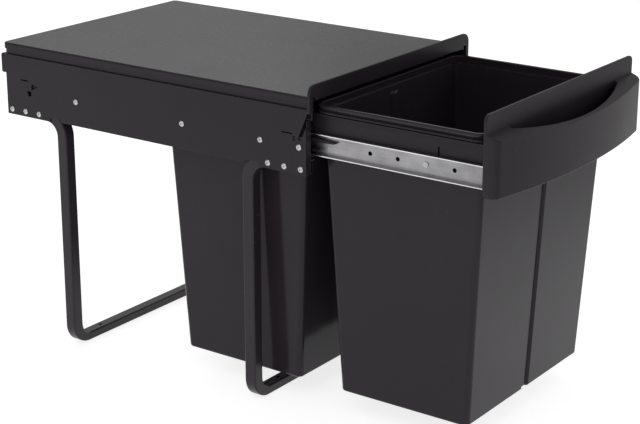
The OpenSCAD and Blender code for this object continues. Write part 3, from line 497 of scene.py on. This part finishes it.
def add_block(name, low, high):
    """A block between two corners."""
    clear_selection()
    middle = [(a + b) / 2 * MM for a, b in zip(low, high)]
    bpy.ops.mesh.primitive_cube_add(size=1, location=middle)
    piece = bpy.context.active_object
    piece.name = name
    piece.scale = [(b - a) * MM for a, b in zip(low, high)]
    bpy.ops.object.transform_apply(location=True, rotation=True, scale=True)
    return piece


def add_drum(name, radius, at, low_z, high_z, sides):
    """An upright cylinder between two heights."""
    clear_selection()
    middle = (at[0] * MM, at[1] * MM, (low_z + high_z) / 2 * MM)
    bpy.ops.mesh.primitive_cylinder_add(vertices=sides, radius=radius * MM, depth=(high_z - low_z) * MM,
                                        location=middle)
    piece = bpy.context.active_object
    piece.name = name
    bpy.ops.object.transform_apply(location=True, rotation=True, scale=True)
    return piece


def pick(piece, kind, test):
    """Opens edit mode with only the faces, edges or points selected that pass the test."""
    select_only(piece)
    mesh = piece.data
    for group in (mesh.vertices, mesh.edges, mesh.polygons):
        for item in group:
            item.select = False
    bpy.context.tool_settings.mesh_select_mode = (kind == "VERT", kind == "EDGE", kind == "FACE")
    if kind == "FACE":
        for face in mesh.polygons:
            face.select = bool(test(face.center / MM, face.normal))
    elif kind == "EDGE":
        for edge in mesh.edges:
            ends = [mesh.vertices[i].co / MM for i in edge.vertices]
            edge.select = bool(test(*ends))
    else:
        for point in mesh.vertices:
            point.select = bool(test(point.co / MM))
    bpy.ops.object.mode_set(mode="EDIT")


def pick_all(piece):
    select_only(piece)
    bpy.ops.object.mode_set(mode="EDIT")
    bpy.ops.mesh.select_all(action="SELECT")


def is_upright(a, b):
    """True for an edge that rises, in blocks whose other edges are level."""
    return abs(a.z - b.z) > 1


def round_edges(width, segments):
    bpy.ops.mesh.bevel(offset=width * MM, offset_type="OFFSET", segments=segments, profile=0.5,
                       affect="EDGES")


def slice_at(piece, axis, places):
    """Adds an edge ring on a plane across one axis at each place."""
    for at in places:
        pick_all(piece)
        middle = [0, 0, 0]
        middle[axis] = at * MM
        across = [0, 0, 0]
        across[axis] = 1
        bpy.ops.mesh.bisect(plane_co=middle, plane_no=across)


def cut_off(piece, at, out):
    """Cuts away what lies beyond a plane and closes the cut."""
    pick_all(piece)
    bpy.ops.mesh.bisect(plane_co=[v * MM for v in at], plane_no=out, use_fill=True, clear_outer=True)


def resize_about(value, middle):
    bpy.ops.transform.resize(value=value, center_override=[m * MM for m in middle])


def shift(step):
    bpy.ops.transform.translate(value=[s * MM for s in step])


def use_modifier(piece, kind, **settings):
    select_only(piece)
    modifier = piece.modifiers.new(kind.lower(), kind)
    for name, value in settings.items():
        setattr(modifier, name, value)
    bpy.ops.object.modifier_apply(modifier=modifier.name)


def round_sharp(piece, width, segments, sharper_than, clamp=False):
    """Rounds every edge that turns by more than an angle."""
    use_modifier(piece, "BEVEL", width=width * MM, segments=segments, limit_method="ANGLE",
                 angle_limit=math.radians(sharper_than), use_clamp_overlap=clamp)


def subtract(piece, tool):
    use_modifier(piece, "BOOLEAN", operation="DIFFERENCE", solver="EXACT", object=tool)
    bpy.data.objects.remove(tool)


def join_into(piece, others):
    clear_selection()
    for other in others:
        other.select_set(True)
    piece.select_set(True)
    bpy.context.view_layer.objects.active = piece
    bpy.ops.object.join()


def merged_copy(name, node_name):
    """A copy of one of the frame's own meshes with its doubled points merged, open in edit mode."""
    clear_selection()
    piece = bpy.data.objects.new(name, nodes[node_name].data.copy())
    bpy.context.scene.collection.objects.link(piece)
    pick_all(piece)
    bpy.ops.mesh.remove_doubles(threshold=MERGE * MM)
    return piece


def finish_piece(piece, material, body, replaced):
    """Smooths a finished piece, gives it its material, hangs it on the body it rides on and hides the parts
    it replaces.
    """
    select_only(piece)
    bpy.ops.object.shade_smooth_by_angle(angle=SMOOTH_ANGLE)
    use_modifier(piece, "WEIGHTED_NORMAL", keep_sharp=True)
    piece.data.materials.clear()
    piece.data.materials.append(material)
    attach(piece, body)
    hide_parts(*replaced)


def repeat_piece(piece, name, place, body, replaced):
    """The same piece moved or mirrored to another place, with its own mesh."""
    other = piece.copy()
    other.data = piece.data.copy()
    other.name = name
    bpy.context.scene.collection.objects.link(other)
    other.data.transform(place)
    if place.determinant() < 0:
        other.data.flip_normals()
    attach(other, body)
    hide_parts(replaced)


def corners(name):
    """Lowest and highest corner of a CAD node, in millimetres."""
    low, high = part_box(name)
    return [v / MM for v in low], [v / MM for v in high]


# Bins: tapered tubs with a grooved end wall. A pair is half a length along X and half a length along Y.
TUB_TOP = (148.3, 109.0)
TUB_FLOOR = (136.3, 90.0)
TUB_BRIM = (154.8, 113.0)
TUB_CORNER = 7
TUB_FLOOR_EDGE = 3
TUB_WALL = 2
END_WALL_FROM = 80
GROOVE_FLOOR = 6.3
GROOVE_HALF = 8.5
GROOVE_DEPTH = 3
GROOVE_START = 6
GROOVE_FULL = 9


def bin_tub(name, y0, floor_z, rail_top):
    half_x, half_y = TUB_TOP
    piece = add_block(name, (-half_x, y0 - half_y, floor_z), (half_x, y0 + half_y, rail_top))
    pick(piece, "FACE", lambda at, out: out.z < -SQUARE)
    resize_about((TUB_FLOOR[0] / half_x, TUB_FLOOR[1] / half_y, 1), (0, y0, floor_z))
    pick(piece, "EDGE", is_upright)
    round_edges(TUB_CORNER, 6)
    pick(piece, "EDGE", lambda a, b: max(a.z, b.z) < floor_z + NEAR)
    round_edges(TUB_FLOOR_EDGE, 3)
    pick(piece, "FACE", lambda at, out: out.z > SQUARE)
    bpy.ops.mesh.delete(type="FACE")
    # groove down the middle of each end wall
    slice_at(piece, 0, (-GROOVE_HALF, -GROOVE_FLOOR, GROOVE_FLOOR, GROOVE_HALF))
    slice_at(piece, 2, (rail_top - GROOVE_FULL, rail_top - GROOVE_START))
    for side in (-1, 1):
        pick(piece, "VERT", lambda at: (abs(at.x) < GROOVE_FLOOR + NEAR and side * (at.y - y0) > END_WALL_FROM
                                        and at.z < rail_top - GROOVE_FULL + NEAR))
        shift((0, -side * GROOVE_DEPTH, 0))
    # brim that lies on the rail's flange
    pick(piece, "EDGE", lambda a, b: min(a.z, b.z) > rail_top - NEAR)
    bpy.ops.mesh.extrude_region_move()
    resize_about((TUB_BRIM[0] / half_x, TUB_BRIM[1] / half_y, 1), (0, y0, rail_top))
    pick_all(piece)
    bpy.ops.mesh.normals_make_consistent(inside=False)
    clear_selection()
    # an open tub may come out inside out, which its floor tells
    if min(piece.data.polygons, key=lambda face: face.center.z).normal.z > 0:
        piece.data.flip_normals()
    use_modifier(piece, "SOLIDIFY", thickness=TUB_WALL * MM, offset=-1)
    return piece


# Rim of a bin: a ring with a cove round the outside between its rolled top and its foot.
# The cove's points are depths below the top and how far each is drawn in.
RIM_H = 11
RIM_LINE = 1.2
RIM_T = 5
RIM_CORNER = 16
RIM_COVE = ((1.9, 0.0), (3.2, 0.5), (4.6, 1.2), (6.0, 2.0), (7.1, 2.4), (7.5, 0.4))
RIM_OUTER_SKIN = 4.5
RIM_TOP_EDGE = 1.3
RIM_INNER_EDGE = 1.0
RIM_FOOT_EDGE = 0.6


def bin_rim(name, y0, rail_top, half_x, half_y):
    low_z = rail_top + RIM_LINE
    top_z = rail_top + RIM_H
    rim = add_block(name, (-half_x, y0 - half_y, low_z), (half_x, y0 + half_y, top_z))
    pick(rim, "EDGE", is_upright)
    round_edges(RIM_CORNER, 10)
    pick(rim, "FACE", lambda at, out: abs(out.z) > SQUARE)
    bpy.ops.mesh.inset(thickness=RIM_T * MM, depth=0)
    pick(rim, "FACE", lambda at, out: abs(out.z) > SQUARE and math.hypot(at.x, at.y - y0) < CENTRAL)
    bpy.ops.mesh.bridge_edge_loops()
    pick_all(rim)
    bpy.ops.mesh.normals_make_consistent(inside=False)
    slice_at(rim, 2, [top_z - down for down, inward in RIM_COVE])

    def is_outer(at):
        past_x = max(abs(at.x) - half_x + RIM_CORNER, 0)
        past_y = max(abs(at.y - y0) - half_y + RIM_CORNER, 0)
        return math.hypot(past_x, past_y) > RIM_CORNER - RIM_OUTER_SKIN

    def is_top(a, b):
        return min(a.z, b.z) > top_z - NEAR

    for down, inward in RIM_COVE:
        pick(rim, "VERT", lambda at: abs(at.z - top_z + down) < NEAR and is_outer(at))
        resize_about((1 - inward / half_x, 1 - inward / half_y, 1), (0, y0, low_z))
    pick(rim, "EDGE", lambda a, b: is_top(a, b) and is_outer(a) and is_outer(b))
    round_edges(RIM_TOP_EDGE, 3)
    pick(rim, "EDGE", lambda a, b: is_top(a, b) and not is_outer(a) and not is_outer(b))
    round_edges(RIM_INNER_EDGE, 2)
    pick(rim, "EDGE", lambda a, b: max(a.z, b.z) < low_z + NEAR and is_outer(a) and is_outer(b))
    round_edges(RIM_FOOT_EDGE, 2)
    return rim


def make_bins():
    low, high = corners("front_bin")
    rear_low = corners("rear_bin")[0]
    y0 = (low[1] + high[1]) / 2
    half_x = (high[0] - low[0]) / 2
    half_y = (high[1] - low[1]) / 2
    rail_top = high[2] - RIM_H
    front = bin_tub("front_bin_tub", y0, low[2], rail_top)
    rim = bin_rim("front_bin_rim", y0, rail_top, half_x, half_y)
    join_into(front, [rim])
    finish_piece(front, bin_plastic, "drawer", ["front_bin"])
    back = Matrix.Translation((0, (rear_low[1] - low[1]) * MM, 0))
    repeat_piece(front, "rear_bin_tub", back, "drawer", "rear_bin")


# Handle front: an upright plate and a bowed grip with a finger pocket behind it
BOW_MID = 31.0
BOW_END = 12.5
BOW_DROP = 22.0
BOW_SLOPE = 0.387
BOW_CORNER = 8
BOW_EDGE = 1.1
BOW_SIDES = 320
PLATE_T = 4.0
PLATE_CORNER = 7
PLATE_EDGE = 0.9
POCKET_END = 48.0
POCKET_END_DEPTH = 4.0
POCKET_DEPTH = 27.0
POCKET_FLOOR = 5.0
POCKET_SIDES = 200
MOULDED_SHARP = 38


def arc_radius(half, rise):
    return (half * half + rise * rise) / (2 * rise)


def make_handle():
    low, high = corners("handle_front")
    half = high[0]
    face = low[1] + BOW_MID
    floor_z = low[2]
    top_z = high[2]
    radius = arc_radius(half, BOW_MID - BOW_END)
    bow = add_drum("handle_bow", radius, (0, face - BOW_MID + radius), floor_z, top_z, BOW_SIDES)
    cut_off(bow, (half, 0, 0), (1, 0, 0))
    cut_off(bow, (-half, 0, 0), (-1, 0, 0))
    cut_off(bow, (0, face + PLATE_T / 2, 0), (0, 1, 0))
    pick(bow, "EDGE", lambda a, b: is_upright(a, b) and abs(a.x) > half - NEAR and a.y < face)
    round_edges(BOW_CORNER, 7)
    tilt = math.atan(BOW_SLOPE)
    cut_off(bow, (0, face, top_z - BOW_DROP), (0, -math.sin(tilt), math.cos(tilt)))
    pocket_half = half - POCKET_END
    pocket_radius = arc_radius(pocket_half, POCKET_DEPTH - POCKET_END_DEPTH)
    pocket = add_drum("pocket_tool", pocket_radius, (0, face - POCKET_DEPTH + pocket_radius),
                      floor_z + POCKET_FLOOR, top_z, POCKET_SIDES)
    cut_off(pocket, (pocket_half, 0, 0), (1, 0, 0))
    cut_off(pocket, (-pocket_half, 0, 0), (-1, 0, 0))
    cut_off(pocket, (0, face + PLATE_T, 0), (0, 1, 0))
    subtract(bow, pocket)
    round_sharp(bow, BOW_EDGE, 3, MOULDED_SHARP)
    plate = add_block("handle_plate", (-half, face, floor_z), (half, high[1], top_z))
    pick(plate, "EDGE", lambda a, b: abs(a.y - b.y) > 1)
    round_edges(PLATE_CORNER, 7)
    round_sharp(plate, PLATE_EDGE, 3, MOULDED_SHARP, clamp=True)
    join_into(bow, [plate])
    finish_piece(bow, grip_plastic, "drawer", ["handle_front"])


# Lid: a tray turned over, with a band drawn in round its foot and clip tongues below
LID_WALL = 2.5
LID_BAND = 6.5
LID_RECESS = 1.5
LID_CORNER = 7
LID_EDGE = 2.6
LID_FOOT_EDGE = 0.5
LID_SPARE = 30
BAND_CORNER = 6
BAND_LAP = 1
CAP_FROM_REAR = 50
CLIP_CUT = 0.3


def make_lid():
    low, high = corners("lid")
    panel_top = corners("side_panel_left")[1][2]
    half = high[0]
    past_front = low[1] - LID_SPARE
    band_top = panel_top + LID_BAND
    top = add_block("lid_top", (-half, past_front, band_top), (half, high[1], high[2]))
    pick(top, "EDGE", lambda a, b: is_upright(a, b) and a.y > 0)
    round_edges(LID_CORNER, 7)
    pick(top, "EDGE", lambda a, b: min(a.z, b.z) > high[2] - NEAR)
    round_edges(LID_EDGE, 4)
    pick(top, "EDGE", lambda a, b: max(a.z, b.z) < band_top + NEAR)
    round_edges(LID_FOOT_EDGE, 2)
    pick(top, "FACE", lambda at, out: out.z < -LEVEL)
    bpy.ops.mesh.inset(thickness=(LID_WALL + LID_RECESS) * MM, depth=0)
    shift((0, 0, high[2] - LID_WALL - band_top))
    cut_off(top, (0, low[1], 0), (0, -1, 0))
    inner = half - LID_RECESS
    band_rear = high[1] - LID_RECESS
    band = add_block("lid_band", (-inner, past_front, panel_top), (inner, band_rear, band_top + BAND_LAP))
    pick(band, "EDGE", lambda a, b: is_upright(a, b) and a.y > 0)
    round_edges(BAND_CORNER, 6)
    pick(band, "FACE", lambda at, out: abs(out.z) > LEVEL)
    bpy.ops.mesh.inset(thickness=LID_WALL * MM, depth=0)
    pick(band, "FACE", lambda at, out: (abs(out.z) > LEVEL and abs(at.x) < CENTRAL
                                        and abs(at.y - high[1]) > CAP_FROM_REAR))
    bpy.ops.mesh.bridge_edge_loops()
    cut_off(band, (0, low[1], 0), (0, -1, 0))
    # tongues and barbs, taken from the frame's own lid
    clips = merged_copy("lid_clips", "lid")
    cut_off(clips, (0, 0, panel_top - CLIP_CUT), (0, 0, 1))
    join_into(top, [band, clips])
    finish_piece(top, lid_plastic, "frame", ["lid"])


# Drawer member of a slide: a strip with mounting holes and a raceway rolled into each flange
STEEL = 1.0
HOLE_D = 5.4
HOLE_SIDES = 40
HOLES_AT = (47.6, 122.8, 160.4)
RACE_AT = 4.8
RACE_HALF = 2.5
RACE_RISE = {-1: 0.35, 1: 0.25}
RACE_STEPS = 12
BEND = 1.6
BEND_STEPS = 4
# the pins that cut the holes reach from and to these distances past the web's back
STRIP_PINS = (-2, 1)
RAIL_PINS = (-1, 3)
# what lies this far in front of the web and this close to its edge is on a flange
FLANGE_DEPTH = 1.4
FLANGE_EDGE = 1.2


def hole_tools(name, front_y, middle_z, low_x, high_x):
    """Pins that cut the mounting holes of one slide."""
    tools = []
    for at in HOLES_AT:
        clear_selection()
        middle = ((low_x + high_x) / 2 * MM, (front_y + at) * MM, middle_z * MM)
        bpy.ops.mesh.primitive_cylinder_add(vertices=HOLE_SIDES, radius=HOLE_D / 2 * MM,
                                            depth=(high_x - low_x) * MM, location=middle,
                                            rotation=(0, math.radians(90), 0))
        pin = bpy.context.active_object
        bpy.ops.object.transform_apply(location=True, rotation=True, scale=True)
        tools.append(pin)
    join_into(tools[0], tools[1:])
    tools[0].name = name
    return tools[0]


def flange_line(rise, reach):
    """Depth from the web's back and height beyond the web, along a flange with its raceway."""
    turn = [math.pi / 2 * step / BEND_STEPS for step in range(1, BEND_STEPS + 1)]
    race = [math.pi * step / RACE_STEPS for step in range(RACE_STEPS + 1)]
    return ([(BEND * (1 - math.cos(a)), BEND * math.sin(a)) for a in turn]
            + [(RACE_AT - RACE_HALF * math.cos(a), BEND - rise * math.sin(a) ** 2) for a in race]
            + [(reach, BEND)])


def make_slide_inner():
    low, high = corners("slide_inner_left")
    middle_z = (low[2] + high[2]) / 2
    web_half = (high[2] - low[2]) / 2 - BEND
    clear_selection()
    at = (high[0] * MM, (low[1] + high[1]) / 2 * MM, middle_z * MM)
    bpy.ops.mesh.primitive_plane_add(size=1, location=at, rotation=(0, math.radians(90), 0))
    strip = bpy.context.active_object
    strip.name = "slide_inner_left_strip"
    strip.scale = (2 * web_half * MM, (high[1] - low[1]) * MM, 1)
    bpy.ops.object.transform_apply(location=True, rotation=True, scale=True)
    for side in (-1, 1):
        edge_z = middle_z + side * web_half
        pick(strip, "EDGE", lambda a, b: abs(a.z - edge_z) < NEAR and abs(b.z - edge_z) < NEAR)
        before = (0, 0)
        for depth, height in flange_line(RACE_RISE[side], high[0] - low[0]):
            bpy.ops.mesh.extrude_region_move()
            shift((before[0] - depth, 0, side * (height - before[1])))
            before = (depth, height)
    pick_all(strip)
    bpy.ops.mesh.remove_doubles(threshold=MERGE * MM)
    bpy.ops.mesh.normals_make_consistent(inside=False)
    clear_selection()
    web = max(strip.data.polygons, key=lambda face: face.area)
    if web.normal.x < 0:
        strip.data.flip_normals()
    use_modifier(strip, "SOLIDIFY", thickness=STEEL * MM, offset=-1)
    ends = [high[0] + reach for reach in STRIP_PINS]
    subtract(strip, hole_tools("slide_hole_tool", low[1], middle_z, *ends))
    finish_piece(strip, zinc, "drawer", ["slide_inner_left"])
    # the flanges get a brighter steel, a painted highlight along the lips
    strip.data.materials.append(lip_highlight_steel)
    for face in strip.data.polygons:
        at = face.center / MM
        on_flange = high[0] - at.x > FLANGE_DEPTH and abs(at.z - middle_z) > web_half - FLANGE_EDGE
        face.material_index = 1 if on_flange else 0
    across = Matrix.Scale(-1, 4, (1, 0, 0))
    repeat_piece(strip, "slide_inner_right_strip", across, "drawer", "slide_inner_right")


# Pressed and moulded pieces: merged copies of the frame's own pieces with rounded edges
SHEET_EDGE = 0.45
RAIL_EDGE = 0.4
SLIDE_EDGE = 0.3
ARCH_EDGE = 0.9
PRESSED_SHARP = 32


def soften(name, material, body, width, tool=None, cuts=()):
    """cuts are (axis, places): rings that part a hollow face, so that no face folds over a hollow."""
    piece = merged_copy("soft_" + name, name)
    bpy.ops.mesh.dissolve_limited(angle_limit=FLAT)
    for axis, places in cuts:
        slice_at(piece, axis, places)
    if tool:
        subtract(piece, tool)
    round_sharp(piece, width, 2, PRESSED_SHARP)
    finish_piece(piece, material, body, [name])
    return piece


def make_sheets():
    for name in both("side_panel"):
        soften(name, coat, "frame", SHEET_EDGE)
    soften("rear_crossmember", coat, "frame", SHEET_EDGE)


def make_rails():
    """The slide's mounting holes go on through the rails."""
    low, high = corners("slide_inner_left")
    middle_z = (low[2] + high[2]) / 2
    for side, name in ((1, "drawer_rail_left"), (-1, "drawer_rail_right")):
        ends = sorted(side * (high[0] + reach) for reach in RAIL_PINS)
        tool = hole_tools("rail_hole_tool", low[1], middle_z, *ends)
        soften(name, coat, "drawer", RAIL_EDGE, tool=tool)


# The arch's corners turn at these distances from the middle
ARCH_TURNS = (150, 158, 162, 165, 168)
ARM_X = 160
ARM_BEHIND = 4


def make_arch():
    """The arms lie behind the panels; their faces get a near black material almost without gloss, a painted
    shade.
    """
    cuts = [-at for at in reversed(ARCH_TURNS)] + list(ARCH_TURNS)
    arch = soften("front_arch", grip_plastic, "frame", ARCH_EDGE, cuts=((0, cuts),))
    arch.data.materials.append(arm_shade_plastic)
    arms_from = corners("side_panel_left")[0][1] + ARM_BEHIND
    # the faces of the arms behind the panels get the painted shade
    for face in arch.data.polygons:
        at = face.center / MM
        face.material_index = 1 if at.y > arms_from and abs(at.x) > ARM_X else 0


# Rings across a channel: at these heights from its lower and upper edge, and at these parts of its depth
CHANNEL_TURNS = (3.5, 6)
CHANNEL_PARTS = (0.25, 0.5, 0.75)


def make_channels():
    """The slides' outer and middle members."""
    for name, body in (("slide_middle", "slide_middles"), ("slide_outer", "frame")):
        for member in both(name):
            low, high = corners(member)
            rises = [low[2] + at for at in CHANNEL_TURNS] + [high[2] - at for at in reversed(CHANNEL_TURNS)]
            across = [low[0] + (high[0] - low[0]) * part for part in CHANNEL_PARTS]
            soften(member, zinc, body, SLIDE_EDGE, cuts=((2, rises), (0, across)))


# Blind rivets: the pit of each head, its floor and walls, is painted near black as painted shade; the broken
# end of the mandrel sits at its floor
PIT_DEPTH = 0.7


def make_rivets():
    for name, axis in (("leg_rivets", 0), ("slide_rivets", 0), ("crossmember_rivets", 1)):
        piece = merged_copy("dark_centred_" + name, name)
        finish_piece(piece, rivet_metal, "frame", [name])
        # the pit's floor and walls get the painted shade
        piece.data.materials.append(pit_shade_steel)
        head = corners(name)[1][axis]
        for face in piece.data.polygons:
            depth = head - abs(face.center[axis] / MM)
            on_floor = abs(depth - PIT_DEPTH) < NEAR and abs(face.normal[axis]) > SQUARE
            on_wall = depth < PIT_DEPTH and abs(face.normal[axis]) < EDGE_ON
            face.material_index = 1 if on_floor or on_wall else 0


make_bins()
make_handle()
make_lid()
make_slide_inner()
make_sheets()
make_rails()
make_arch()
make_channels()
make_rivets()
